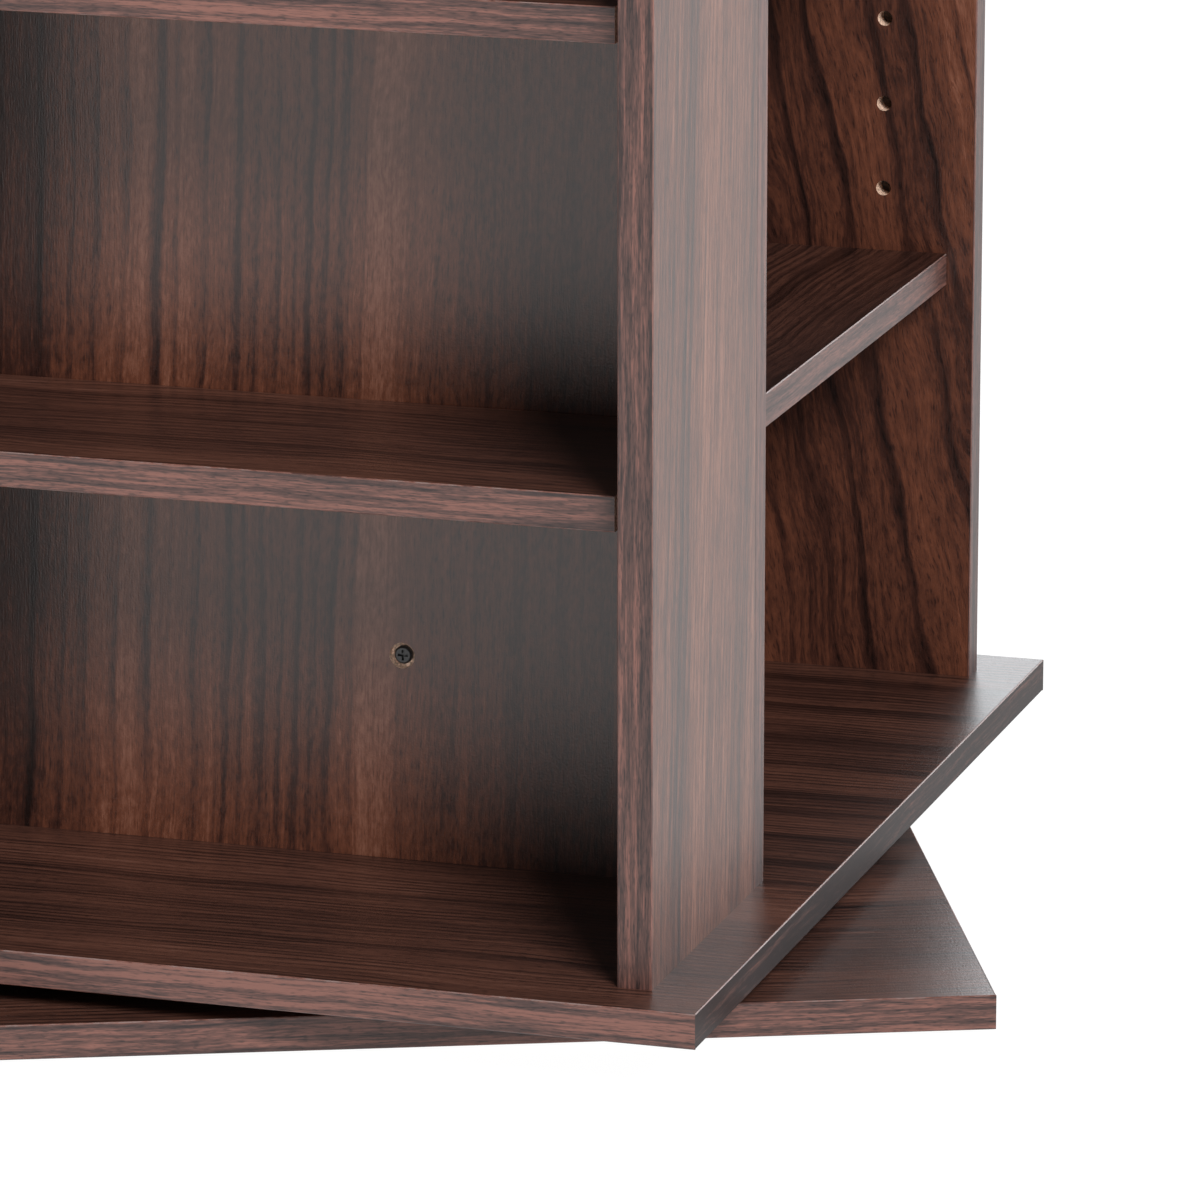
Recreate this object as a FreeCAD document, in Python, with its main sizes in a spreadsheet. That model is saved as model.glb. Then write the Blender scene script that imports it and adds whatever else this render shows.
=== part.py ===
"""Rotating media tower: four pinwheel compartments on a ball-bearing turntable.

The front compartment opens towards -Y, and the right, rear and left ones repeat it by
quarter turns about the spin axis, which is the Z axis. The floor is at Z = 0. The body
stands square to the axes and the base plate is turned under it by base_turn.
"""
import FreeCAD, Part
import os
import re
import Sketcher

# name, value (millimetres, degrees or a count), meaning
SIZE_TABLE = (
    ("board_thickness", 15, "laminated particle board"),
    ("band_thickness", 0.8, "edge band glued to every visible board edge"),
    ("band_arris", 0.4, "chamfer along both long edges of an edge band"),
    ("body_width", 532, "outside of the square of uprights"),
    ("compartment_depth", 150, "front edge of a side panel to the back panel"),
    ("plate_overhang", 26, "base, bottom and top plates beyond the uprights"),
    ("base_turn", 23, "base plate's angle under the body"),
    ("glide_height", 4, "furniture glide below the base plate"),
    ("glide_diameter", 22, "furniture glide"),
    ("glide_inset", 45, "base plate's edges to a glide's centre"),
    ("nail_diameter", 2, "glide's nail"),
    ("nail_length", 10, "glide's nail inside the base plate"),
    ("turntable_width", 305, "square steel turntable plates"),
    ("turntable_thickness", 9.5, "gap between the base plate and the bottom panel"),
    ("sheet_thickness", 1.2, "turntable steel"),
    ("plate_corner", 12, "turntable plate corner radius"),
    ("race_radius", 110, "ball circle"),
    ("race_height", 3.2, "raised ring that carries the race"),
    ("race_half_width", 12, "ball circle to either side of the raised ring"),
    ("race_foot", 4, "sloping foot outside the raised ring"),
    ("ball_count", 24, "balls in the race"),
    ("ball_diameter", 6, "steel ball"),
    ("ball_play", 0.05, "ball surface to race"),
    ("trough_half_floor", 3.2, "flat back of the pressed ball groove"),
    ("trough_half_width", 4.8, "back of the groove where it meets the ring"),
    ("neck_play", 1.8, "hub neck to the lower plate's bore"),
    ("lip_length", 4.3, "flare that holds the two plates together"),
    ("lip_play", 0.4, "flare to the lower plate and to the base plate"),
    ("retainer_thickness", 1.2, "nylon ball retainer"),
    ("retainer_half_width", 4.2, "ball circle to the retainer's edges"),
    ("retainer_play", 0.15, "ball to its hole in the retainer"),
    ("plate_screw_inset", 12.5, "turntable's lower screws from its plate's edges"),
    ("access_inset", 25.5, "turntable's access hole and upper screws from its edges"),
    ("access_diameter", 20, "screwdriver hole through base and lower plate"),
    ("plate_screw_length", 12, "turntable screw below its head"),
    ("screw_length", 48, "furniture screw below its head"),
    ("screw_diameter", 4, "screw shank"),
    ("screw_clearance", 0.3, "shank to a hole that it only passes through"),
    ("screw_point", 3, "screw tip"),
    ("head_diameter", 8, "screw head"),
    ("head_height", 2.4, "screw head"),
    ("head_crown", 0.8, "bevel round the screw head"),
    ("cross_width", 1.1, "cross recess"),
    ("cross_length", 4.6, "cross recess"),
    ("cross_depth", 1.6, "cross recess"),
    ("counterbore_diameter", 11.5, "pocket that a screw head sits in"),
    ("counterbore_depth", 3.2, "pocket that a screw head sits in"),
    ("screw_row_height", 91, "lowest and highest cross screws from the uprights' ends"),
    ("screw_rows", 3, "cross screws one above the other"),
    ("wall_screw_inset", 125, "back panel's end to its bottom screws and top cams"),
    ("wall_dowel_inset", 60, "back panel's end to its dowels"),
    ("side_dowel_inset", 35, "side panel's edges to its dowels"),
    ("dowel_diameter", 8, "beech dowel"),
    ("dowel_length", 28, "beech dowel"),
    ("dowel_in_plate", 9, "dowel inside the bottom or top panel"),
    ("dowel_gap", 0.5, "glue room at each end of a dowel"),
    ("cam_distance", 34, "cam centre below the top panel"),
    ("cam_diameter", 15, "cam lock"),
    ("cam_depth", 12.4, "cam lock"),
    ("cam_slot", 8.4, "opening in the cam lock for the bolt's head"),
    ("cam_bolt_diameter", 5, "cam bolt's waist"),
    ("cam_bolt_head", 7, "cam bolt's head and thread"),
    ("cam_bolt_head_height", 4, "cam bolt's head"),
    ("cam_thread_length", 10, "cam bolt inside the top panel"),
    ("cam_hole_diameter", 8, "bolt's hole down the upright"),
    ("cap_diameter", 17, "plastic cap over a cam lock"),
    ("cap_thickness", 1, "plastic cap over a cam lock"),
    ("pin_diameter", 7, "shelf hole"),
    ("pin_depth", 10, "shelf hole"),
    ("pin_setback", 44, "shelf holes from the front edge and from the back panel"),
    ("pin_pitch", 40, "shelf holes one above the other"),
    ("first_pin_height", 192, "lowest shelf holes above the uprights' feet"),
    ("top_pin_margin", 198, "highest shelf holes below the uprights' tops"),
    ("peg_clearance", 0.15, "shelf support's peg to its hole, on the radius"),
    ("peg_length", 9, "peg inside its hole"),
    ("support_width", 14, "shelf support"),
    ("support_sheet", 1, "shelf support steel"),
    ("support_ledge", 12, "shelf support's ledge, from the wall"),
    ("support_rise", 12, "shelf support's back above the ledge"),
    ("peg_above_shelf", 4, "peg's centre above the shelf's underside"),
    ("shelf_rows", 5, "shelves in one compartment"),
    ("shelf_pitch_holes", 5, "shelf holes from one shelf to the next"),
    ("shelf_end_gap", 3.2, "shelf's end to the wall, when centred"),
    ("shelf_shift", 1.9, "how far a shelf lies off centre"),
    ("shelf_recess", 13, "shelf behind the uprights' front edges"),
    ("shelf_rear_gap", 1, "shelf to the back panel"),
)
SIZES = {name: value for name, value, _ in SIZE_TABLE}
SIZE_WORD = re.compile(r"\b(" + "|".join(SIZES) + r")\b")

SIDES = ("front", "right", "rear", "left")
# Each shelf lies against one wall of its compartment: +1 is towards the side panel.
SHELF_LEANS = {"front": -1, "right": 1, "rear": -1, "left": 1}

HALF_BODY = "(body_width / 2)"
PLATE_WIDTH = "(body_width + 2 * plate_overhang)"
HALF_PLATE = "(body_width / 2 + plate_overhang)"
BASE_TOP = "(glide_height + board_thickness)"
TURNTABLE_TOP = "(glide_height + board_thickness + turntable_thickness)"
UPRIGHT_FOOT = "(glide_height + 2 * board_thickness + turntable_thickness)"
SHELF_STEP = "(pin_pitch * shelf_pitch_holes)"
PIN_ROWS = "((shelf_rows - 1) * shelf_pitch_holes + 1)"
UPRIGHT_HEIGHT = f"(first_pin_height + top_pin_margin + (shelf_rows - 1) * {SHELF_STEP})"
UPRIGHT_TOP = f"({UPRIGHT_FOOT} + {UPRIGHT_HEIGHT})"
WALL_LENGTH = "(body_width - compartment_depth - board_thickness)"
WALL_START = "(compartment_depth + board_thickness - body_width / 2)"
WALL_FRONT = "(compartment_depth - body_width / 2)"
WALL_MIDDLE = "(compartment_depth + board_thickness / 2 - body_width / 2)"
SIDE_MIDDLE = "(body_width / 2 - board_thickness / 2)"
CROSS_JOINT = "(body_width - 2 * compartment_depth - 1.5 * board_thickness)"
SCREW_SPACING = f"(({UPRIGHT_HEIGHT} - 2 * screw_row_height) / (screw_rows - 1))"
SCREW_SEAT = "(counterbore_depth - head_height)"
THREAD_DEPTH = "(screw_length - board_thickness + counterbore_depth)"
PIN_SPAN = "(compartment_depth - 2 * pin_setback)"
SHELF_LENGTH = "(body_width - compartment_depth - 2 * board_thickness - 2 * shelf_end_gap)"
HALF_OPENING = "((body_width - compartment_depth - 2 * board_thickness) / 2)"
SHELF_DEPTH = "(compartment_depth - shelf_recess - shelf_rear_gap)"
BAND_FREE_PLATE = "(body_width + 2 * plate_overhang - 2 * band_thickness)"
DOWEL_IN_UPRIGHT = "(dowel_length - dowel_in_plate)"
RETAINER_FLOOR = "(turntable_thickness / 2 - retainer_thickness / 2)"
GROOVE_RADIUS = "(ball_diameter / 2 + ball_play)"
LOWER_SCREW = "(turntable_width / 2 - plate_screw_inset)"
ACCESS_SPOT = "(turntable_width / 2 - access_inset)"

# Cubic millimetres that every pocket has to take away at least.
LEAST_CUT = 0.001

doc = FreeCAD.newDocument("RotatingMediaTower")
nodes = []


# ---------------------------------------------------------------- the size sheet

def write_sheet():
    """Fill the sheet: a meaning, and beside it the number under its alias."""
    sheet = doc.addObject("Spreadsheet::Sheet", "Sizes")
    for row, (name, value, meaning) in enumerate(SIZE_TABLE, start=1):
        sheet.set(f"A{row}", meaning)
        sheet.set(f"B{row}", str(value))
        sheet.setAlias(f"B{row}", name)
    doc.recompute()


def bind(thing, path, formula):
    """Tie one property of a document object to the sheet."""
    thing.setExpression(path, SIZE_WORD.sub(r"Sizes.\1", formula))


def at(x, y, z, turn="0"):
    """A placement formula: a point, and a turn about the vertical axis."""
    return f"placement(vector({x}; {y}; {z}); rotation(vector(0; 0; 1); {turn}))"


def quarter(side):
    """The placement formula that carries the front compartment to another side."""
    return at("0", "0", "0", str(90 * SIDES.index(side)))


STAND_UP = "placement(vector(0; 0; 0); rotation(vector(0; 1; 0); -90))"
BASE_FRAME = at("0", "0", "0", "base_turn")


# ---------------------------------------------------------------- document helpers

def new_body(label):
    """A body that may hold several separate solids."""
    body = doc.addObject("PartDesign::Body", label)
    body.Label = label
    body.AllowCompound = True
    return body


def export_as_node(thing, placement):
    """Place a finished sub-part and list it for writing."""
    bind(thing, "Placement", placement)
    nodes.append(thing)


def origin_item(body, role):
    """One of the body's own origin planes or axes."""
    return next(item for item in body.Origin.OriginFeatures if item.Role == role)


def new_sketch(body, name, plane, shift=("0", "0", "0"), turn="0"):
    """A sketch on one of the body's origin planes, shifted along the plane's axes."""
    sketch = body.newObject("Sketcher::SketchObject", name)
    sketch.AttachmentSupport = [(origin_item(body, plane), "")]
    sketch.MapMode = "FlatFace"
    x, y, z = shift
    bind(sketch, "AttachmentOffset", at(x, y, z, turn))
    return sketch


def fix_coordinate(sketch, kind, axis, geometry, point, formula):
    """Hold a sketch point at a distance from an axis, or on the axis itself."""
    if formula == "0":
        sketch.addConstraint(Sketcher.Constraint("PointOnObject", geometry, point, axis))
        return
    fixed = sketch.addConstraint(Sketcher.Constraint(kind, -1, 1, geometry, point, 1.0))
    bind(sketch, f"Constraints[{fixed}]", formula)


def draw_polygon(sketch, points):
    """A closed outline through points given as pairs of formulas."""
    count = len(points)
    for i in range(count):
        start = FreeCAD.Vector(i, i * i, 0)
        end = FreeCAD.Vector(i + 1, (i + 1) ** 2, 0)
        sketch.addGeometry(Part.LineSegment(start, end), False)
    for i in range(count):
        sketch.addConstraint(Sketcher.Constraint("Coincident", i, 1, (i - 1) % count, 2))
    for i, (across, up) in enumerate(points):
        fix_coordinate(sketch, "DistanceX", -2, i, 1, across)
        fix_coordinate(sketch, "DistanceY", -1, i, 1, up)


def draw_rectangle(sketch, width, height):
    """A rectangle with one corner on the sketch's origin."""
    draw_polygon(sketch, (("0", "0"), (width, "0"), (width, height), ("0", height)))


def draw_circle(sketch, across, up, diameter):
    """A circle about a point given as two formulas."""
    circle = Part.Circle(FreeCAD.Vector(1, 1, 0), FreeCAD.Vector(0, 0, 1), 1)
    drawn = sketch.addGeometry(circle, False)
    fix_coordinate(sketch, "DistanceX", -2, drawn, 3, across)
    fix_coordinate(sketch, "DistanceY", -1, drawn, 3, up)
    size = sketch.addConstraint(Sketcher.Constraint("Diameter", drawn, 2.0))
    bind(sketch, f"Constraints[{size}]", diameter)


def pad(body, sketch, length):
    """Raise a sketch along its plane's normal."""
    feature = body.newObject("PartDesign::Pad", f"{sketch.Name}_pad")
    feature.Profile = sketch
    bind(feature, "Length", length)
    return feature


def pocket(body, sketch, depth, along_normal=False):
    """Cut a sketch into the solid, against its plane's normal or along it."""
    feature = body.newObject("PartDesign::Pocket", f"{sketch.Name}_cut")
    feature.Profile = sketch
    feature.Reversed = along_normal
    bind(feature, "Length", depth)
    return feature


def revolve(body, sketch):
    """Turn a sketch once round its own vertical axis."""
    feature = body.newObject("PartDesign::Revolution", f"{sketch.Name}_turned")
    feature.Profile = sketch
    feature.ReferenceAxis = (sketch, ["V_Axis"])
    feature.Angle = 360
    return feature


def bore(body, name, plane, spots, diameter, depth, level="0", along_normal=False):
    """Round blind holes, all of one size, at spots on one face."""
    sketch = new_sketch(body, name, plane, ("0", "0", level))
    for across, up in spots:
        draw_circle(sketch, across, up, diameter)
    return pocket(body, sketch, depth, along_normal)


def repeat_along(body, features, axis, count, spacing):
    """Repeat features in a row along one of the body's axes."""
    pattern = body.newObject("PartDesign::LinearPattern", f"{features[0].Name}_row")
    pattern.Originals = features
    pattern.Direction = (origin_item(body, axis), [""])
    pattern.Mode = "Spacing"
    bind(pattern, "Offset", spacing)
    bind(pattern, "Occurrences", count)
    body.Tip = pattern
    return pattern


def repeat_round(body, features, count="4"):
    """Repeat features evenly round the body's Z axis."""
    pattern = body.newObject("PartDesign::PolarPattern", f"{features[0].Name}_ring")
    pattern.Originals = features
    pattern.Axis = (origin_item(body, "Z_Axis"), [""])
    pattern.Angle = 360
    bind(pattern, "Occurrences", count)
    body.Tip = pattern
    return pattern


def whole_row(body, axis, count, spacing):
    """Repeat everything in the body in a row along one axis."""
    row = repeat_along(body, [body.Tip], axis, count, spacing)
    row.TransformMode = "Whole shape"


def whole_ring(body):
    """Repeat everything in the body on the other three sides."""
    repeat_round(body, [body.Tip]).TransformMode = "Whole shape"


# ---------------------------------------------------------------- where pieces meet

def wall_spots(inset, start=WALL_START, middle=WALL_MIDDLE):
    """Two spots on a back panel's centre line, one inset from each end."""
    return ((f"{start} + {inset}", middle), (f"{start} + {WALL_LENGTH} - {inset}", middle))


def side_spots(insets, front=HALF_BODY, middle=SIDE_MIDDLE):
    """Spots on a side panel's centre line, at distances from its front edge."""
    return tuple((middle, f"{inset} - {front}") for inset in insets)


SIDE_DOWELS = ("side_dowel_inset", "compartment_depth - side_dowel_inset")
SIDE_SCREW = ("compartment_depth / 2",)
DOWEL_SPOTS = wall_spots("wall_dowel_inset") + side_spots(SIDE_DOWELS)
SCREW_SPOTS = wall_spots("wall_screw_inset") + side_spots(SIDE_SCREW)


def upright_end_holes(body, dowel_spots, screw_spots, board_faces):
    """Dowel, screw and cam holes in an upright's two ends, and the cam pockets."""
    bore(body, f"{body.Label}_foot_dowels", "XY_Plane", dowel_spots, "dowel_diameter",
         f"{DOWEL_IN_UPRIGHT} + dowel_gap", along_normal=True)
    bore(body, f"{body.Label}_foot_screws", "XY_Plane", screw_spots, "screw_diameter",
         THREAD_DEPTH, along_normal=True)
    bore(body, f"{body.Label}_top_dowels", "XY_Plane", dowel_spots, "dowel_diameter",
         f"{DOWEL_IN_UPRIGHT} + dowel_gap", level=UPRIGHT_HEIGHT)
    bore(body, f"{body.Label}_cam_bolts", "XY_Plane", screw_spots, "cam_hole_diameter",
         "cam_distance", level=UPRIGHT_HEIGHT)
    plane, spots, along_normal = board_faces
    bore(body, f"{body.Label}_cam_locks", plane, spots, "cam_diameter", "cam_depth",
         along_normal=along_normal)


# ---------------------------------------------------------------- edge bands

def band_strip(name, length):
    """One edge band along +X: its visible face is at Y = 0 and its width is upwards."""
    body = new_body(name)
    sketch = new_sketch(body, f"{name}_section", "YZ_Plane")
    inner = "band_thickness"
    draw_polygon(sketch, (
        (inner, "0"), (inner, "board_thickness"), ("band_arris", "board_thickness"),
        ("0", "board_thickness - band_arris"), ("0", "band_arris"), ("band_arris", "0")))
    pad(body, sketch, length)
    return body


def band_group(label, strips, placement):
    """Several placed strips as one sub-part."""
    group = doc.addObject("Part::Compound", label)
    group.Label = label
    group.Links = strips
    export_as_node(group, placement)


def plate_bands(label, height, frame):
    """Bands round a square plate: front and rear run through, left and right between."""
    strips = []
    for side in SIDES:
        runs_through = side in ("front", "rear")
        set_in = "0" if runs_through else "band_thickness"
        strip = band_strip(f"{label}_{side}", f"{PLATE_WIDTH} - 2 * {set_in}")
        bind(strip, "Placement", f"{quarter(side)} * "
             + at(f"{set_in} - {HALF_PLATE}", f"-{HALF_PLATE}", height))
        strips.append(strip)
    band_group(label, strips, frame)


def upright_bands(label, x, y, turn):
    """One standing band for each side of the body."""
    strips = []
    for side in SIDES:
        strip = band_strip(f"{label}_{side}", UPRIGHT_HEIGHT)
        corner = at(x, y, UPRIGHT_FOOT, turn)
        bind(strip, "Placement", f"{quarter(side)} * {corner} * {STAND_UP}")
        strips.append(strip)
    band_group(label, strips, at("0", "0", "0"))


# ---------------------------------------------------------------- square plates

def plate_board(label):
    """A square board, less its edge bands, centred on the spin axis."""
    body = new_body(label)
    edge = f"band_thickness - {HALF_PLATE}"
    sketch = new_sketch(body, f"{label}_outline", "XY_Plane", (edge, edge, "0"))
    draw_rectangle(sketch, BAND_FREE_PLATE, BAND_FREE_PLATE)
    pad(body, sketch, "board_thickness")
    return body


def make_base_plate():
    """The plate on the floor, with its screwdriver hole, pilot holes and nail holes."""
    body = plate_board("base_plate")
    bore(body, "base_access", "XY_Plane", ((ACCESS_SPOT, ACCESS_SPOT),),
         "access_diameter", "board_thickness", along_normal=True)
    spot = ((LOWER_SCREW, LOWER_SCREW),)
    pilot = bore(body, "base_pilot", "XY_Plane", spot, "screw_diameter",
                 "plate_screw_length - sheet_thickness", level="board_thickness")
    repeat_round(body, [pilot])
    glide = f"{HALF_PLATE} - glide_inset"
    nail = bore(body, "base_nail", "XY_Plane", ((glide, glide),), "nail_diameter",
                "nail_length", along_normal=True)
    repeat_round(body, [nail])
    export_as_node(body, at("0", "0", "glide_height", "base_turn"))


def make_bottom_panel():
    """The rotating plate under the uprights, drilled from below and above."""
    body = plate_board("bottom_panel")
    spot = ((ACCESS_SPOT, ACCESS_SPOT),)
    pilot = bore(body, "bottom_pilot", "XY_Plane", spot, "screw_diameter",
                 "plate_screw_length - sheet_thickness", along_normal=True)
    shank = bore(body, "bottom_shank", "XY_Plane", SCREW_SPOTS,
                 "screw_diameter + 2 * screw_clearance", "board_thickness",
                 along_normal=True)
    seat = bore(body, "bottom_seat", "XY_Plane", SCREW_SPOTS, "counterbore_diameter",
                "counterbore_depth", along_normal=True)
    dowel = bore(body, "bottom_dowel", "XY_Plane", DOWEL_SPOTS, "dowel_diameter",
                 "dowel_in_plate + dowel_gap", level="board_thickness")
    repeat_round(body, [pilot, shank, seat, dowel])
    export_as_node(body, at("0", "0", TURNTABLE_TOP))


def make_top_panel():
    """The top, drilled from below for dowels and cam bolts."""
    body = plate_board("top_panel")
    dowel = bore(body, "top_dowel", "XY_Plane", DOWEL_SPOTS, "dowel_diameter",
                 "dowel_in_plate + dowel_gap", along_normal=True)
    thread = bore(body, "top_thread", "XY_Plane", SCREW_SPOTS, "cam_bolt_head",
                  "cam_thread_length", along_normal=True)
    repeat_round(body, [dowel, thread])
    export_as_node(body, at("0", "0", UPRIGHT_TOP))


def make_plates():
    """The three square plates and their edge bands."""
    make_base_plate()
    plate_bands("base_plate_edge_bands", "glide_height", BASE_FRAME)
    make_bottom_panel()
    plate_bands("bottom_panel_edge_bands", TURNTABLE_TOP, at("0", "0", "0"))
    make_top_panel()
    plate_bands("top_panel_edge_bands", UPRIGHT_TOP, at("0", "0", "0"))


# ---------------------------------------------------------------- uprights

def make_back_panel(side):
    """A compartment's back, which is also a wall of the next compartment round."""
    body = new_body(f"back_panel_{side}")
    name = body.Label
    outline = new_sketch(body, f"{name}_outline", "XY_Plane")
    draw_rectangle(outline, f"{WALL_LENGTH} - band_thickness", "board_thickness")
    pad(body, outline, UPRIGHT_HEIGHT)
    rear = "-board_thickness"
    front_pin = (f"{WALL_LENGTH} - pin_setback", "first_pin_height")
    rear_pin = (f"{WALL_LENGTH} - compartment_depth + pin_setback", "first_pin_height")
    pins = bore(body, f"{name}_pins", "XZ_Plane", (front_pin, rear_pin), "pin_diameter",
                "pin_depth", level=rear, along_normal=True)
    repeat_along(body, [pins], "Z_Axis", PIN_ROWS, "pin_pitch")
    cross = ((CROSS_JOINT, "screw_row_height"),)
    shank = bore(body, f"{name}_cross_shank", "XZ_Plane", cross,
                 "screw_diameter + 2 * screw_clearance", "board_thickness")
    seat = bore(body, f"{name}_cross_seat", "XZ_Plane", cross, "counterbore_diameter",
                "counterbore_depth")
    end = bore(body, f"{name}_cross_thread", "YZ_Plane",
               (("board_thickness / 2", "screw_row_height"),), "screw_diameter",
               THREAD_DEPTH, along_normal=True)
    edge = ((f"{WALL_LENGTH} - board_thickness / 2", "screw_row_height"),)
    side_shank = bore(body, f"{name}_side_shank", "XZ_Plane", edge,
                      "screw_diameter + 2 * screw_clearance", "board_thickness")
    side_seat = bore(body, f"{name}_side_seat", "XZ_Plane", edge, "counterbore_diameter",
                     "counterbore_depth", level=rear, along_normal=True)
    repeat_along(body, [shank, seat, end, side_shank, side_seat], "Z_Axis", "screw_rows",
                 SCREW_SPACING)
    middle = "board_thickness / 2"
    cam_height = f"{UPRIGHT_HEIGHT} - cam_distance"
    cams = tuple((x, cam_height) for x, _ in wall_spots("wall_screw_inset", "0"))
    upright_end_holes(body, wall_spots("wall_dowel_inset", "0", middle),
                      wall_spots("wall_screw_inset", "0", middle),
                      ("XZ_Plane", cams, False))
    export_as_node(body, f"{quarter(side)} * {at(WALL_START, WALL_FRONT, UPRIGHT_FOOT)}")


def make_side_panel(side):
    """The outer wall of one compartment, with its shelf holes on the inner face."""
    body = new_body(f"side_panel_{side}")
    name = body.Label
    outline = new_sketch(body, f"{name}_outline", "XY_Plane", ("0", "band_thickness", "0"))
    draw_rectangle(outline, "board_thickness", "compartment_depth - band_thickness")
    pad(body, outline, UPRIGHT_HEIGHT)
    front_pin = ("pin_setback", "first_pin_height")
    rear_pin = ("compartment_depth - pin_setback", "first_pin_height")
    pins = bore(body, f"{name}_pins", "YZ_Plane", (front_pin, rear_pin), "pin_diameter",
                "pin_depth", along_normal=True)
    repeat_along(body, [pins], "Z_Axis", PIN_ROWS, "pin_pitch")
    thread = bore(body, f"{name}_thread", "XZ_Plane",
                  (("board_thickness / 2", "screw_row_height"),), "screw_diameter",
                  THREAD_DEPTH, level="-compartment_depth", along_normal=True)
    repeat_along(body, [thread], "Z_Axis", "screw_rows", SCREW_SPACING)
    middle = "board_thickness / 2"
    cam_spot = (("compartment_depth / 2", f"{UPRIGHT_HEIGHT} - cam_distance"),)
    upright_end_holes(body, side_spots(SIDE_DOWELS, "0", middle),
                      side_spots(SIDE_SCREW, "0", middle), ("YZ_Plane", cam_spot, True))
    corner = at(f"{HALF_BODY} - board_thickness", f"-{HALF_BODY}", UPRIGHT_FOOT)
    export_as_node(body, f"{quarter(side)} * {corner}")


def make_uprights():
    """Four back panels and four side panels, with the bands on their outer edges."""
    for side in SIDES:
        make_back_panel(side)
        make_side_panel(side)
    upright_bands("back_panel_edge_bands", HALF_BODY, f"{WALL_FRONT} + board_thickness",
                  "90")
    upright_bands("side_panel_edge_bands", HALF_BODY, f"-{HALF_BODY}", "0")


# ---------------------------------------------------------------- shelves

def make_shelf(side, row):
    """One adjustable shelf: the board and the band on its front edge."""
    label = f"shelf_{side}_{row}"
    board = new_body(f"{label}_board")
    sketch = new_sketch(board, f"{label}_outline", "XY_Plane", ("0", "band_thickness", "0"))
    draw_rectangle(sketch, SHELF_LENGTH, f"{SHELF_DEPTH} - band_thickness")
    pad(board, sketch, "board_thickness")
    band = band_strip(f"{label}_band", SHELF_LENGTH)
    shelf = doc.addObject("Part::Compound", label)
    shelf.Label = label
    shelf.Links = [board, band]
    x = f"{WALL_START} + shelf_end_gap + {SHELF_LEANS[side]} * shelf_shift"
    underside = f"first_pin_height - peg_above_shelf + {row - 1} * {SHELF_STEP}"
    corner = at(x, f"shelf_recess - {HALF_BODY}", f"{UPRIGHT_FOOT} + {underside}")
    export_as_node(shelf, f"{quarter(side)} * {corner}")


def make_shelf_supports(side):
    """The L-shaped steel supports of one compartment, pegged into its walls."""
    body = new_body(f"shelf_supports_{side}")
    name = body.Label
    sheet = "support_sheet"
    back = f"{sheet} + support_rise"
    section = new_sketch(body, f"{name}_section", "XZ_Plane",
                         (f"-{HALF_OPENING}", "0", "-pin_setback - support_width / 2"))
    draw_polygon(section, (("0", "0"), ("support_ledge", "0"), ("support_ledge", sheet),
                           (sheet, sheet), (sheet, back), ("0", back)))
    pad(body, section, "support_width")
    peg = new_sketch(body, f"{name}_peg", "YZ_Plane",
                     ("0", "0", f"-{HALF_OPENING} - peg_length"))
    draw_circle(peg, "pin_setback", f"{sheet} + peg_above_shelf",
                "pin_diameter - 2 * peg_clearance")
    pad(body, peg, f"peg_length + {sheet} / 2")
    opposite = body.newObject("PartDesign::Mirrored", f"{name}_opposite")
    opposite.Originals = [body.Tip]
    opposite.MirrorPlane = (origin_item(body, "YZ_Plane"), [""])
    opposite.TransformMode = "Whole shape"
    body.Tip = opposite
    whole_row(body, "Z_Axis", "shelf_rows", SHELF_STEP)
    whole_row(body, "Y_Axis", "2", PIN_SPAN)
    lift = f"{UPRIGHT_FOOT} + first_pin_height - peg_above_shelf - {sheet}"
    corner = at(f"{WALL_START} + {HALF_OPENING}", f"-{HALF_BODY}", lift)
    export_as_node(body, f"{quarter(side)} * {corner}")


def make_shelves():
    """Every compartment's shelves and what they rest on."""
    for side in SIDES:
        for row in range(1, SIZES["shelf_rows"] + 1):
            make_shelf(side, row)
        make_shelf_supports(side)


# ---------------------------------------------------------------- screws

# The way a screw points: profile plane, turn in it, recess plane, cut along its normal.
SCREW_WAYS = {
    "+Y": ("XY_Plane", "0", "XZ_Plane", False),
    "-Y": ("XY_Plane", "180", "XZ_Plane", True),
    "+Z": ("XZ_Plane", "0", "XY_Plane", True),
    "-Z": ("XZ_Plane", "180", "XY_Plane", False),
}


def on_plane(plane, x, y, z):
    """A point in space as a shift along one plane's own axes and normal."""
    if plane == "XY_Plane":
        return x, y, z
    return x, z, f"-({y})"


def add_screw(body, name, way, crown, length):
    """A cross-recessed screw whose head's crown is at a point, pointing one way."""
    profile_plane, turn, cross_plane, along_normal = SCREW_WAYS[way]
    profile = new_sketch(body, f"{name}_profile", profile_plane,
                         on_plane(profile_plane, *crown), turn)
    head = "head_diameter / 2"
    shank = "screw_diameter / 2"
    draw_polygon(profile, (
        ("0", "0"), (f"{head} - head_crown", "0"), (head, "head_crown"),
        (head, "head_height"), (shank, "head_height"),
        (shank, f"head_height + {length} - screw_point"), ("0", f"head_height + {length}")))
    revolve(body, profile)
    across, up, level = on_plane(cross_plane, *crown)
    for width, height in (("cross_length", "cross_width"), ("cross_width", "cross_length")):
        corner = (f"{across} - {width} / 2", f"{up} - {height} / 2", level)
        arm = new_sketch(body, f"{name}_{width}", cross_plane, corner)
        draw_rectangle(arm, width, height)
        pocket(body, arm, "cross_depth", along_normal)


def make_cross_screws(label, way, x, y):
    """The screws of one upright joint, one above the other, on all four sides."""
    body = new_body(label)
    add_screw(body, label, way, (x, y, f"{UPRIGHT_FOOT} + screw_row_height"),
              "screw_length")
    whole_row(body, "Z_Axis", "screw_rows", SCREW_SPACING)
    whole_ring(body)
    export_as_node(body, at("0", "0", "0"))


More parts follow.
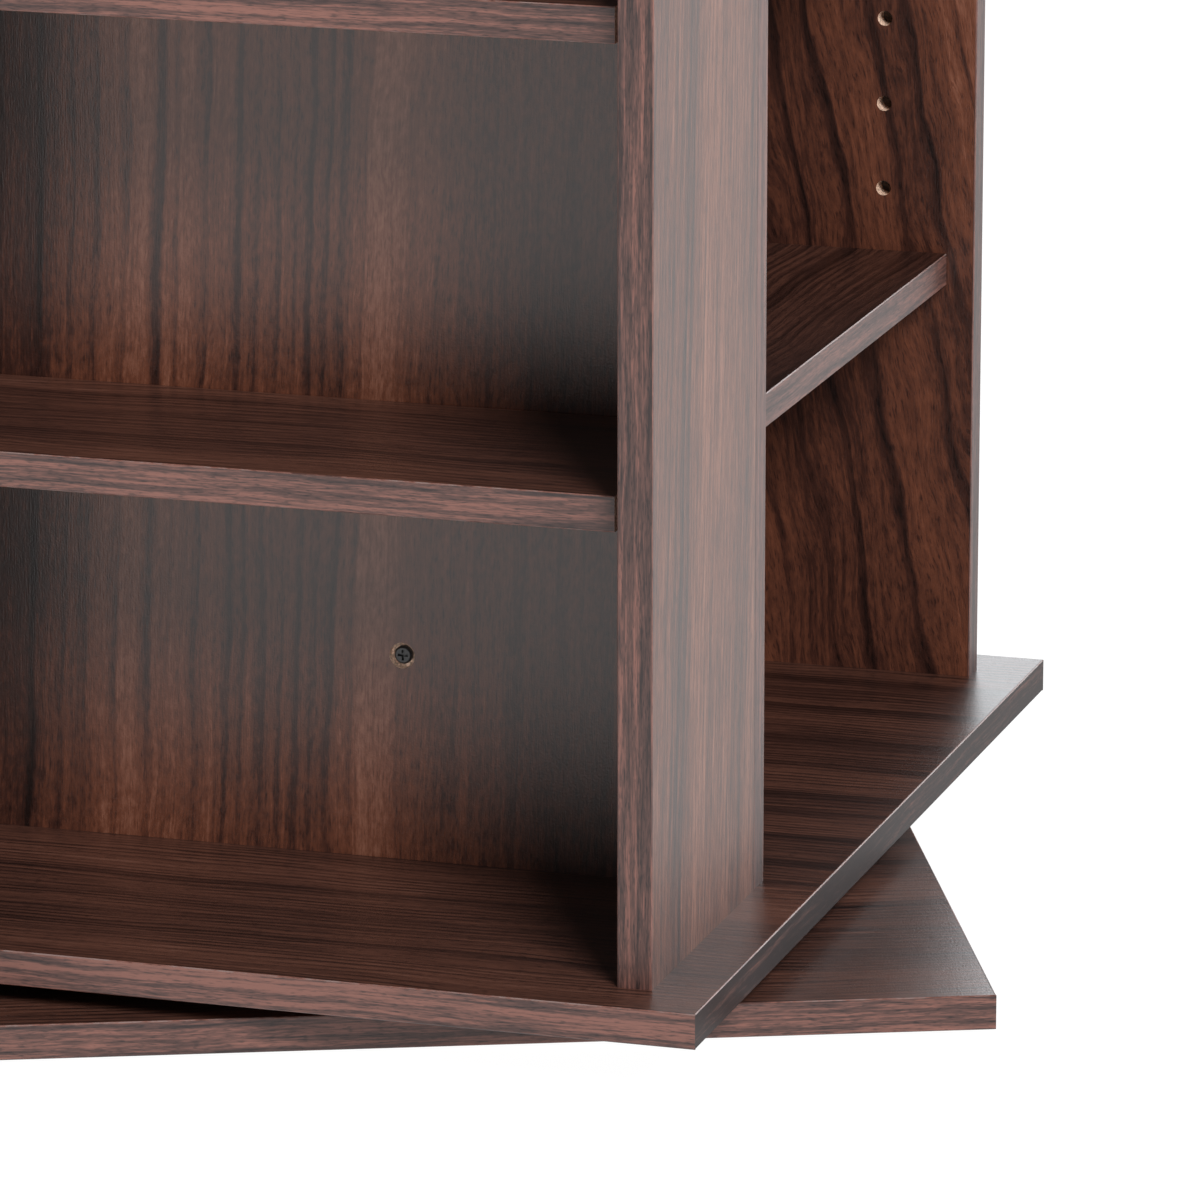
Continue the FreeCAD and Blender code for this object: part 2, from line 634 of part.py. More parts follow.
def make_bottom_panel_screws():
    """The screws up through the bottom panel into the uprights."""
    body = new_body("bottom_panel_screws")
    for number, (x, y) in enumerate(SCREW_SPOTS):
        crown = (x, y, f"{TURNTABLE_TOP} + {SCREW_SEAT}")
        add_screw(body, f"bottom_screw_{number}", "+Z", crown, "screw_length")
    whole_ring(body)
    export_as_node(body, at("0", "0", "0"))


def make_turntable_screws(label, way, spot, crown_height, frame):
    """Four short screws that hold one turntable plate."""
    body = new_body(label)
    add_screw(body, label, way, (spot, spot, crown_height), "plate_screw_length")
    whole_ring(body)
    export_as_node(body, frame)


def make_screws():
    """Every screw of the tower."""
    make_cross_screws("back_panel_screws", "+Y", f"{WALL_START} + {CROSS_JOINT}",
                      f"{WALL_FRONT} + {SCREW_SEAT}")
    make_cross_screws("side_panel_screws", "-Y", SIDE_MIDDLE,
                      f"{WALL_FRONT} + board_thickness - {SCREW_SEAT}")
    make_bottom_panel_screws()
    make_turntable_screws("turntable_lower_screws", "-Z", LOWER_SCREW,
                          f"{BASE_TOP} + sheet_thickness + head_height", BASE_FRAME)
    make_turntable_screws("turntable_upper_screws", "+Z", ACCESS_SPOT,
                          f"{TURNTABLE_TOP} - sheet_thickness - head_height",
                          at("0", "0", "0"))


# ---------------------------------------------------------------- dowels and cams

def add_discs(body, name, plane, spots, diameter, length, level):
    """Round bars of one length, raised from one plane."""
    sketch = new_sketch(body, name, plane, ("0", "0", level))
    for across, up in spots:
        draw_circle(sketch, across, up, diameter)
    pad(body, sketch, length)


def make_dowels(label, lower_end):
    """The dowels between the uprights and one plate."""
    body = new_body(label)
    add_discs(body, f"{label}_bars", "XY_Plane", DOWEL_SPOTS, "dowel_diameter",
              "dowel_length", lower_end)
    whole_ring(body)
    export_as_node(body, at("0", "0", "0"))


CAM_HEIGHT = f"({UPRIGHT_TOP} - cam_distance)"
WALL_CAMS = tuple((x, CAM_HEIGHT) for x, _ in wall_spots("wall_screw_inset"))
SIDE_CAMS = ((f"compartment_depth / 2 - {HALF_BODY}", CAM_HEIGHT),)
SIDE_FACE = f"({HALF_BODY} - board_thickness)"


def make_cam_bolts():
    """Bolts that hang from the top panel, with their heads inside the cam locks."""
    body = new_body("cam_bolts")
    head_floor = f"{CAM_HEIGHT} - cam_bolt_head_height / 2"
    head_top = f"{CAM_HEIGHT} + cam_bolt_head_height / 2"
    add_discs(body, "cam_bolt_head", "XY_Plane", SCREW_SPOTS, "cam_bolt_head",
              "cam_bolt_head_height", head_floor)
    add_discs(body, "cam_bolt_waist", "XY_Plane", SCREW_SPOTS, "cam_bolt_diameter",
              "cam_distance - cam_bolt_head_height / 2", head_top)
    add_discs(body, "cam_bolt_thread", "XY_Plane", SCREW_SPOTS, "cam_bolt_head",
              "cam_thread_length", UPRIGHT_TOP)
    whole_ring(body)
    export_as_node(body, at("0", "0", "0"))


def make_cam_locks():
    """Round locks in the uprights' faces, each hollowed for a bolt's head."""
    body = new_body("cam_locks")
    add_discs(body, "wall_locks", "XZ_Plane", WALL_CAMS, "cam_diameter", "cam_depth",
              f"-({WALL_FRONT} + cam_depth)")
    add_discs(body, "side_locks", "YZ_Plane", SIDE_CAMS, "cam_diameter", "cam_depth",
              SIDE_FACE)
    bore(body, "lock_hollow", "XY_Plane", SCREW_SPOTS, "cam_slot",
         "cam_diameter / 2 + cam_bolt_head_height", f"{CAM_HEIGHT} + cam_diameter / 2")
    whole_ring(body)
    export_as_node(body, at("0", "0", "0"))


def make_cam_caps():
    """Thin plastic caps that cover the cam locks."""
    body = new_body("cam_caps")
    add_discs(body, "wall_caps", "XZ_Plane", WALL_CAMS, "cap_diameter", "cap_thickness",
              f"-{WALL_FRONT}")
    add_discs(body, "side_caps", "YZ_Plane", SIDE_CAMS, "cap_diameter", "cap_thickness",
              f"{SIDE_FACE} - cap_thickness")
    whole_ring(body)
    export_as_node(body, at("0", "0", "0"))


def make_knock_down_fittings():
    """Dowels at both ends of the uprights, and the cams that pull the top down."""
    make_dowels("dowels_bottom", f"{UPRIGHT_FOOT} - dowel_in_plate")
    make_dowels("dowels_top", f"{UPRIGHT_TOP} - {DOWEL_IN_UPRIGHT}")
    make_cam_bolts()
    make_cam_locks()
    make_cam_caps()


# ---------------------------------------------------------------- turntable and glides

RING_OUTER = "(race_radius + race_half_width)"
RING_INNER = "(race_radius - race_half_width)"
RING_FOOT = "(race_radius + race_half_width + race_foot)"
NECK_OUTER = "(race_radius - race_half_width - neck_play)"
NECK_INNER = "(race_radius - race_half_width - neck_play - sheet_thickness)"
TROUGH_FLOOR = f"(turntable_thickness / 2 - {GROOVE_RADIUS} - sheet_thickness)"


def from_plate(height, upper):
    """A height above the lower plate's back, or as far below the upper plate's."""
    return f"turntable_thickness - ({height})" if upper else height


def ring_outline(upper):
    """Half section of the pressed ring: its foot, its top and the back of its groove."""
    sheet = "sheet_thickness"
    top = from_plate("race_height", upper)
    back = from_plate(f"race_height - {sheet}", upper)
    trough = from_plate(TROUGH_FLOOR, upper)
    foot = from_plate("0", upper)
    outer = ((RING_FOOT, foot), (RING_FOOT, from_plate(sheet, upper)), (RING_OUTER, top))
    inner = ((RING_INNER, top), (RING_INNER, back))
    if upper:
        lip_top = f"lip_play + {sheet}"
        lip_end = f"{NECK_OUTER} + lip_length"
        inner = ((NECK_OUTER, top), (NECK_OUTER, lip_top), (lip_end, lip_top),
                 (lip_end, "lip_play"), (NECK_INNER, "lip_play"), (NECK_INNER, back))
    groove_back = (
        ("race_radius - trough_half_width", back), ("race_radius - trough_half_floor", trough),
        ("race_radius + trough_half_floor", trough), ("race_radius + trough_half_width", back))
    return outer + inner + groove_back + (
        (f"{RING_OUTER} - {sheet} / 2", back), (f"{RING_FOOT} - 2 * {sheet}", foot))


def round_plate_corners(body, feature):
    """Round the four upright corners of a square plate."""
    doc.recompute()
    reach = SIZES["turntable_width"] / 2
    corners = [f"Edge{number}" for number, edge in enumerate(feature.Shape.Edges, start=1)
               if edge.BoundBox.ZLength > 0 and edge.BoundBox.Center.x ** 2 > reach ** 2 / 2
               and edge.BoundBox.Center.y ** 2 > reach ** 2 / 2]
    fillet = body.newObject("PartDesign::Fillet", f"{feature.Name}_corners")
    fillet.Base = (feature, corners)
    bind(fillet, "Radius", "plate_corner")


def make_turntable_plate(label, upper, frame):
    """One stamped plate: a flat square with screw holes, and the raised ball race."""
    body = new_body(label)
    edge = "-turntable_width / 2"
    level = "turntable_thickness - sheet_thickness" if upper else "0"
    flat = new_sketch(body, f"{label}_flat", "XY_Plane", (edge, edge, level))
    draw_rectangle(flat, "turntable_width", "turntable_width")
    draw_circle(flat, "turntable_width / 2", "turntable_width / 2",
                f"2 * ({RING_FOOT} - sheet_thickness)")
    round_plate_corners(body, pad(body, flat, "sheet_thickness"))
    ring = new_sketch(body, f"{label}_ring", "XZ_Plane")
    draw_polygon(ring, ring_outline(upper))
    revolve(body, ring)
    race = new_sketch(body, f"{label}_race", "XZ_Plane")
    draw_circle(race, "race_radius", "turntable_thickness / 2", f"2 * {GROOVE_RADIUS}")
    groove = body.newObject("PartDesign::Groove", f"{label}_groove")
    groove.Profile = race
    groove.ReferenceAxis = (race, ["V_Axis"])
    groove.Angle = 360
    spot = ACCESS_SPOT if upper else LOWER_SCREW
    if not upper:
        bore(body, f"{label}_access", "XY_Plane", ((ACCESS_SPOT, ACCESS_SPOT),),
             "access_diameter", "sheet_thickness", along_normal=True)
    hole = bore(body, f"{label}_hole", "XY_Plane", ((spot, spot),), "screw_diameter",
                "sheet_thickness", level=level, along_normal=True)
    repeat_round(body, [hole])
    export_as_node(body, frame)


def make_balls():
    """Steel balls evenly round the race."""
    balls = []
    for number in range(SIZES["ball_count"]):
        ball = doc.addObject("Part::Sphere", f"ball_{number}")
        bind(ball, "Radius", "ball_diameter / 2")
        turn = at("0", "0", "0", f"{number} * 360 / ball_count")
        bind(ball, "Placement", f"{turn} * {at('race_radius', '0', 'turntable_thickness / 2')}")
        balls.append(ball)
    group = doc.addObject("Part::Compound", "turntable_balls")
    group.Label = "turntable_balls"
    group.Links = balls
    export_as_node(group, at("0", "0", BASE_TOP))


def make_ball_retainer():
    """The flat nylon ring that keeps the balls apart."""
    body = new_body("turntable_ball_retainer")
    ring = new_sketch(body, "retainer_ring", "XY_Plane", ("0", "0", RETAINER_FLOOR))
    for side in ("+", "-"):
        draw_circle(ring, "0", "0", f"2 * (race_radius {side} retainer_half_width)")
    pad(body, ring, "retainer_thickness")
    hole = bore(body, "retainer_hole", "XY_Plane", (("race_radius", "0"),),
                "ball_diameter + 2 * retainer_play", "retainer_thickness",
                level=RETAINER_FLOOR, along_normal=True)
    repeat_round(body, [hole], "ball_count")
    export_as_node(body, at("0", "0", BASE_TOP))


def make_turntable():
    """The ball-bearing turntable between the base plate and the bottom panel."""
    make_turntable_plate("turntable_lower_plate", False, at("0", "0", BASE_TOP, "base_turn"))
    make_turntable_plate("turntable_upper_plate", True, at("0", "0", BASE_TOP))
    make_balls()
    make_ball_retainer()


def make_glides():
    """Four nail-on glides under the base plate's corners."""
    body = new_body("base_glides")
    spot = f"{HALF_PLATE} - glide_inset"
    add_discs(body, "glide_foot", "XY_Plane", ((spot, spot),), "glide_diameter",
              "glide_height", "0")
    add_discs(body, "glide_nail", "XY_Plane", ((spot, spot),), "nail_diameter",
              "nail_length", "glide_height")
    whole_ring(body)
    export_as_node(body, BASE_FRAME)


# ---------------------------------------------------------------- build, check, write

def check_model():
    """Stop if a feature failed, a pocket cut nothing, or a sub-part has no valid shape."""
    for thing in doc.Objects:
        if {"Invalid", "Error"} & set(thing.State):
            raise RuntimeError(f"{thing.Label} failed: {thing.State}")
        if thing.TypeId == "PartDesign::Pocket":
            before = thing.BaseFeature.Shape.Volume
            if thing.Shape.Volume > before - LEAST_CUT:
                raise RuntimeError(f"{thing.Label} cuts nothing")
    for node in nodes:
        if node.Shape.isNull() or not node.Shape.isValid():
            raise RuntimeError(f"{node.Label} has no valid shape")


def write_nodes():
    """Write each sub-part to its own STEP file."""
    os.makedirs("parts", exist_ok=True)
    for node in nodes:
        node.Shape.exportStep(f"parts/{node.Label}.step")


def main():
    """Build the tower from the floor up."""
    write_sheet()
    make_glides()
    make_plates()
    make_turntable()
    make_uprights()
    make_shelves()
    make_screws()
    make_knock_down_fittings()
    doc.recompute()
    check_model()
    write_nodes()


main()
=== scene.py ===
"""Rotating media tower: the finish of every board, band, screw and bearing piece.

The boards keep their shapes; this script gives them their walnut laminate, their edge
bands and their raw drilled holes, and stands the tower in a plain white studio.
Lengths are metres unless a name says otherwise.
"""
import math

import bpy
from mathutils import Matrix, Vector


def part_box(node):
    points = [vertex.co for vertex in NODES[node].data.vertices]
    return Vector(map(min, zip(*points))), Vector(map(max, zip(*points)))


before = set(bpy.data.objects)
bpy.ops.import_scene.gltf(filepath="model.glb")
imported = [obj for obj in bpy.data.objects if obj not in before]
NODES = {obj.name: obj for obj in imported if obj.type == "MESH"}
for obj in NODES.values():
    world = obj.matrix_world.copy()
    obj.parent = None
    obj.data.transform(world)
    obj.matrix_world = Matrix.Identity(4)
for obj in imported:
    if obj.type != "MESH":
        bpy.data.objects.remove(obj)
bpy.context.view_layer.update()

bl_info = {
    "name": "Rotating Media Tower",
    "version": (1, 0, 0),
    "blender": (4, 5, 0),
    "location": "3D View > Sidebar > Media Tower",
    "description": "Finishes the pieces of a rotating media tower and sets up its studio",
    "category": "Object",
}

MM = 0.001
SIDES = ("front", "right", "rear", "left")
SHELF_ROWS = 5
BASE_TURN = math.radians(23)

SURFACE_IOR = 1.62          # how strongly every finish mirrors its surroundings
RAMP_LINES = 10             # veins that fit in one colour ramp

# Cells of the soft noises in the laminate, in metres: across the grain, along it, through.
SWAY_CELL = (0.09, 0.16, 0.08)
WOBBLE_CELL = (0.020, 0.055, 0.05)
PATCH_CELL = (0.045, 0.10, 0.05)
COMB_CELL = (0.5 * MM, 7 * MM, 0.01)
MOTTLE_WIDTH = 2.0 * MM
GRAIN_THROUGH = 0.01
PORE_THROUGH = 0.004
COMB_SHARE = 0.9            # height of the combed lines beside the orange peel
MIDDLE_TONE = 0.57          # the tone that contrast leaves as it is
PORE_RANGE = (0.57, 0.70)   # noise values where a pore starts and is full
JOINT_LINE = (0.3 * MM, 0.9 * MM)
PRINT_STOPS = (0.0, 0.34, 0.68, 1.0)

# The same for the edge bands, whose grain runs along the edge.
BAND_SWAY_CELL = (0.02, 0.07, 0.05)
BAND_SWAY = 5 * MM
BAND_WIDE_CELL = (3.0 * MM, 0.16, 0.05)
BAND_FIBRE_CELL = (1.0 * MM, 0.034, 0.05)
BAND_DASH_CELL = (0.7 * MM, 0.009, 0.05)
BAND_PORE_CELL = (0.6 * MM, 0.0045, 0.05)
BAND_TONE = 0.55
BAND_WIDE = 2.0
BAND_FINE = 1.2

# Softboxes: radiance in watts per square metre and steradian.
BACK_LIGHT = {"place": (0.0, 6.0, 1.9), "target": (0.0, 0.0, 0.6), "size": (9.0, 3.0),
              "radiance": 3.4, "tint": (0.93, 0.97, 1.0)}
KEY_LIGHT = {"place": (3.43, -4.02, 3.60), "target": (0.0, 0.0, 0.3), "size": (2.2, 2.0),
             "radiance": 36.0}
FRONT_GLOW = (-0.32, -0.60)  # places on Y between which the floor's glow changes to the front's


# ---------------------------------------------------------------- sizes and colours

def colour(name, default, description):
    """A colour the user can change."""
    return bpy.props.FloatVectorProperty(name=name, description=description, subtype="COLOR",
                                         size=4, min=0.0, max=1.0, default=(*default, 1.0))


def length(name, default, description):
    """A length in metres."""
    return bpy.props.FloatProperty(name=name, description=description, unit="LENGTH",
                                   default=default, min=0.0)


def share(name, default, description):
    """A number between nothing and all."""
    return bpy.props.FloatProperty(name=name, description=description, subtype="FACTOR",
                                   default=default, min=0.0, max=1.0)


class WoodSettings(bpy.types.PropertyGroup):
    """Colours and grain sizes of the printed walnut laminate and its edge bands."""

    vein: colour("Vein", (0.0073, 0.0037, 0.0033), "Darkest lines of the print")
    brown: colour("Brown", (0.0361, 0.0132, 0.0092), "Dark ground between the veins")
    red: colour("Red brown", (0.1135, 0.0378, 0.0206), "Light ground between the veins")
    salmon: colour("Salmon", (0.2150, 0.0894, 0.0559), "Palest streaks of the print")
    band_dark: colour("Band dark", (0.0206, 0.0129, 0.0125), "Dark dashes of the edge bands")
    band_brown: colour("Band brown", (0.0688, 0.0344, 0.0292), "Ground of the edge bands")
    band_pink: colour("Band pink", (0.1754, 0.0765, 0.0593), "Pale dashes of the edge bands")
    # Pale bevel colour: partly abraded print, partly a painted highlight along the arris.
    worn_and_highlit: colour("Worn arris", (0.2064, 0.1419, 0.1290),
                 "Edge where the band's print is rubbed off")
    band_gloss: share("Band roughness", 0.46, "Roughness of the edge bands")
    # Greying the lying boards' print is a painted sheen: it stands in for the grey reflection on
    # their tops.
    painted_sheen: share("Dulling", 0.20, "How far the lying boards' print is greyed")
    raw_board: colour("Raw board", (0.8600, 0.6106, 0.4644), "Particle board inside drilled holes")
    contrast: bpy.props.FloatProperty(name="Contrast", default=1.45, min=0.0,
                                      description="Strength of the print's light and dark")
    fibre_width: length("Fibre width", 1.0 * MM, "Width of one fine fibre of the print")
    fibre_length: length("Fibre length", 45 * MM, "Length of one fine fibre of the print")
    pore_width: length("Pore width", 0.6 * MM, "Width of a dark pore dash")
    pore_length: length("Pore length", 5.5 * MM, "Length of a dark pore dash")
    streak_width: length("Streak width", 3.6 * MM, "Width of a soft streak")
    streak_length: length("Streak length", 260 * MM, "Length of a soft streak")
    skin_size: length("Skin size", 1.0 * MM, "Size of the pressed orange-peel texture")
    skin_height: length("Skin height", 0.085 * MM, "Depth of the orange-peel texture")
    gloss: share("Roughness", 0.34, "Roughness of the laminate's satin surface")


class FittingSettings(bpy.types.PropertyGroup):
    """Colours of the metal, plastic and timber fittings."""

    screw_black: colour("Black screw", (0.012, 0.012, 0.013), "Blackened steel screws")
    zinc: colour("Zinc steel", (0.52, 0.53, 0.54), "Zinc-plated pressed steel")
    bright_steel: colour("Bright steel", (0.62, 0.62, 0.63), "Polished bearing balls")
    nylon: colour("Nylon", (0.70, 0.68, 0.60), "Ball retainer")
    glide: colour("Glide", (0.035, 0.028, 0.025), "Plastic floor glides")
    beech: colour("Beech", (0.48, 0.30, 0.16), "Fluted dowels")
    cam: colour("Cam", (0.40, 0.40, 0.39), "Die-cast cam locks")
    cap: colour("Cap", (0.050, 0.022, 0.016), "Plastic caps over the cams")


class StudioSettings(bpy.types.PropertyGroup):
    """The floor, the lights and the camera."""

    floor_colour: colour("Floor", (0.06, 0.06, 0.06), "Pale studio floor")
    floor_glow: bpy.props.FloatProperty(name="Floor glow", default=0.99, min=0.0,
                                        description="Light the floor gives off by itself")
    front_glow: bpy.props.FloatProperty(name="Front glow", default=1.40, min=0.0,
                                        description="Light the floor gives off at the front")
    floor_size: length("Floor size", 60.0, "Side of the square floor")
    sky_strength: bpy.props.FloatProperty(name="Sky", default=0.15, min=0.0,
                                          description="Brightness of the white surroundings")
    camera_place: bpy.props.FloatVectorProperty(
        name="Camera", subtype="TRANSLATION", unit="LENGTH", size=3,
        default=(1.11171, -3.0715, 0.96316), description="Where the camera stands")
    camera_azimuth: bpy.props.FloatProperty(
        name="Azimuth", subtype="ANGLE", default=math.radians(17.19),
        description="Camera's heading, anticlockwise from +Y")
    camera_fall: bpy.props.FloatProperty(
        name="Fall", subtype="ANGLE", default=math.radians(14.45),
        description="Angle that the camera looks below the horizon")
    lens: bpy.props.FloatProperty(name="Lens", default=225.54, min=1.0,
                                  description="Focal length in millimetres, 36 mm wide frame")


# ---------------------------------------------------------------- building materials

class Finish:
    """One material under construction, with short ways to add and join its nodes."""

    def __init__(self, name, roughness, metallic=0.0):
        self.material = bpy.data.materials.new(name)
        self.material.use_nodes = True
        self.tree = self.material.node_tree
        self.shader = self.tree.nodes["Principled BSDF"]
        self.shader.inputs["Metallic"].default_value = metallic
        self.shader.inputs["IOR"].default_value = SURFACE_IOR
        self.feed(self.shader.inputs["Roughness"], roughness)
        self.place = self.add("ShaderNodeTexCoord").outputs["Object"]

    def add(self, kind, inputs=None, **settings):
        """Add a node, set its properties and feed its inputs."""
        node = self.tree.nodes.new(kind)
        for key, value in settings.items():
            setattr(node, key, value)
        for socket, value in (inputs or {}).items():
            self.feed(node.inputs[socket], value)
        return node

    def feed(self, socket, value):
        """Join a socket to another node's output, or set its value."""
        if isinstance(value, bpy.types.NodeSocket):
            self.tree.links.new(value, socket)
        else:
            socket.default_value = value

    def math(self, operation, *values, clamp=False):
        """One step of arithmetic."""
        node = self.add("ShaderNodeMath", operation=operation, use_clamp=clamp)
        for socket, value in zip(node.inputs, values):
            self.feed(socket, value)
        return node.outputs[0]

    def turned(self, vector, angle):
        """A vector turned back about the vertical axis."""
        return self.add("ShaderNodeMapping", {"Vector": vector, "Rotation": (0.0, 0.0, -angle)}
                        ).outputs[0]

    def split(self, vector):
        """The three parts of a vector."""
        return self.add("ShaderNodeSeparateXYZ", {"Vector": vector}).outputs

    def noise(self, parts, sizes, detail=2.0, roughness=0.5):
        """Smooth noise whose cells have a size along each of the given directions."""
        scaled = [self.math("DIVIDE", part, size) for part, size in zip(parts, sizes)]
        vector = self.add("ShaderNodeCombineXYZ", dict(enumerate(scaled))).outputs[0]
        return self.add("ShaderNodeTexNoise", {"Vector": vector, "Scale": 1.0, "Detail": detail,
                                               "Roughness": roughness}).outputs["Fac"]

    def remap(self, value, low, high, to_low=0.0, to_high=1.0):
        """Stretch a range of a value to another range, and clamp it there."""
        return self.add("ShaderNodeMapRange", {"Value": value, 1: low, 2: high, 3: to_low,
                                               4: to_high}).outputs[0]

    def ramp(self, value, stops, smooth=True):
        """Colours or greys between stops given as (position, colour)."""
        node = self.add("ShaderNodeValToRGB", {"Fac": value})
        node.color_ramp.interpolation = "EASE" if smooth else "LINEAR"
        points = node.color_ramp.elements
        while len(points) < len(stops):
            points.new(0.5)
        for point, (position, shade) in zip(points, stops):
            point.position = position
            point.color = shade if len(shade) == 4 else (*shade, 1.0)
        return node.outputs["Color"]

    def bump(self, height, depth):
        """Raise the surface by a height between nothing and a depth."""
        node = self.add("ShaderNodeBump", {"Height": height, "Distance": depth,
                                           "Strength": 1.0})
        self.feed(self.shader.inputs["Normal"], node.outputs[0])


def grey(value):
    """A grey as a colour."""
    return (value, value, value, 1.0)


def profile(finish, across, points):
    """A value drawn across a board: points are (millimetres, value), lowest first."""
    start, end = points[0][0], points[-1][0]
    spot = finish.remap(across, start * MM, end * MM)
    stops = [((x - start) / (end - start), grey(value)) for x, value in points]
    return finish.ramp(spot, stops)


def veins(finish, across, lines):
    """Dark lines across a board, sharp on one side and fading on the other.

    Each line is (millimetres, strength, width of its core, width of its fade), lowest first.
    """
    total = 0.0
    for first in range(0, len(lines), RAMP_LINES):
        points = []
        for x, strength, core, fade in lines[first:first + RAMP_LINES]:
            start = x - fade if not points else max(x - fade, points[-1][0] + 0.1)
            points += [(start, 0.0), (x - 0.5 * core, strength), (x + core, 0.0)]
        total = finish.math("ADD", total, profile(finish, across, points))
    return total


def rings(finish, bent, down, depth, period):
    """Fine growth lines about a period apart, which come and go along the board."""
    drift = finish.noise((bent, down, depth), (0.022, 0.30, 0.02), 1.0)
    phase = finish.math("MULTIPLY_ADD", bent, 1.0 / (period * MM),
                        finish.math("MULTIPLY", drift, 2.4))
    saw = finish.math("FRACT", phase)
    line = finish.math("MULTIPLY", finish.remap(saw, 0.35, 0.86),
                       finish.remap(saw, 0.86, 1.0, 1.0, 0.0))
    show = finish.noise((bent, down, depth), (0.016, 0.11, 0.02), 1.0)
    return finish.math("MULTIPLY", line, finish.remap(show, 0.34, 0.62, 0.15, 1.0))


def duller(shade, amount):
    """A colour moved towards the grey of the same brightness."""
    mean = sum(shade[:3]) / 3
    return tuple(part + amount * (mean - part) for part in shade[:3])


def laminate(name, wood, figure, along="Z", turn=0.0, joint=None):
    """Printed walnut on a board's faces, satin and finely embossed.

    The figure is one of the dictionaries below. The grain runs along an axis, turned about
    the vertical one by turn. A joint is the axis and the place of the edge where the board
    butts against another one, which shows as a dark line.
    """
    finish = Finish(name, wood.gloss)
    finish.shader.inputs["Specular IOR Level"].default_value = figure["sheen"]
    place = finish.turned(finish.place, turn) if turn else finish.place
    x, y, z = finish.split(place)
    if along == "Z":
        across, down, depth = finish.math("ADD", x, y), z, finish.math("SUBTRACT", x, y)
    else:
        across, down, depth = (y, x, z) if along == "X" else (x, y, z)
    sway = finish.noise((across, down, depth), SWAY_CELL, 1.0)
    wobble = finish.noise((across, down, depth), WOBBLE_CELL, 1.0)
    bent = finish.math("MULTIPLY_ADD", down, -figure["lean"], across)
    bent = finish.math("MULTIPLY_ADD", sway, figure["sway"] * MM, bent)
    bent = finish.math("MULTIPLY_ADD", wobble, figure["wobble"] * MM, bent)
    bent = finish.math("SUBTRACT", bent, 0.5 * (figure["sway"] + figure["wobble"]) * MM)
    fibre = finish.noise((bent, down, depth),
                         (wood.fibre_width, wood.fibre_length, GRAIN_THROUGH), 2.0)
    streak = finish.noise((bent, down, depth),
                          (wood.streak_width, wood.streak_length, GRAIN_THROUGH), 2.0)
    mottle = finish.noise((bent, down, depth),
                          (MOTTLE_WIDTH, figure["blot"] * MM, GRAIN_THROUGH), 3.0, 0.6)
    pore = finish.noise((bent, down, depth),
                        (wood.pore_width, wood.pore_length, PORE_THROUGH), 1.0)
    patch = finish.noise((across, down, depth), PATCH_CELL, 1.0)
    tone = profile(finish, bent, figure["tones"])
    for layer, amount in ((fibre, figure["fibre"]), (streak, figure["streak"]),
                          (mottle, figure["mottle"])):
        tone = finish.math("MULTIPLY_ADD", layer, amount, tone)
        tone = finish.math("SUBTRACT", tone, 0.5 * amount)
    tone = finish.math("MULTIPLY_ADD", tone, wood.contrast,
                       MIDDLE_TONE * (1.0 - wood.contrast))
    lines = finish.math("MULTIPLY", veins(finish, bent, figure["veins"]),
                        finish.remap(patch, 0.32, 0.55, 0.5, 1.0))
    tone = finish.math("SUBTRACT", tone, lines)
    if figure["rings"]:
        growth = rings(finish, bent, down, depth, figure["rings"])
        tone = finish.math("MULTIPLY_ADD", growth, -figure["ring_depth"], tone)
    pores = finish.remap(pore, *PORE_RANGE, 0.0, figure["pores"])
    if joint:
        gap = finish.math("ABSOLUTE", finish.math("SUBTRACT", (x, y)[joint[0]], joint[1]))
        tone = finish.math("SUBTRACT", tone, finish.remap(gap, *JOINT_LINE, 1.0, 0.0))
    tone = finish.math("SUBTRACT", tone, pores, clamp=True)
    # Lying boards get their print greyed as a painted sheen.
    painted_sheen = 0.0 if along == "Z" else wood.painted_sheen
    shades = [duller(shade, painted_sheen) for shade in (wood.vein, wood.brown, wood.red, wood.salmon)]
    shade = finish.ramp(tone, tuple(zip(PRINT_STOPS, shades)), smooth=False)
    finish.feed(finish.shader.inputs["Base Color"], shade)
    size = wood.skin_size
    skin = finish.noise((x, y, z), (size, size, size), 2.0, 0.6)
    comb = finish.noise((across, down, depth), COMB_CELL, 1.0)
    finish.bump(finish.math("MULTIPLY_ADD", comb, COMB_SHARE, skin), wood.skin_height)
    return finish.material


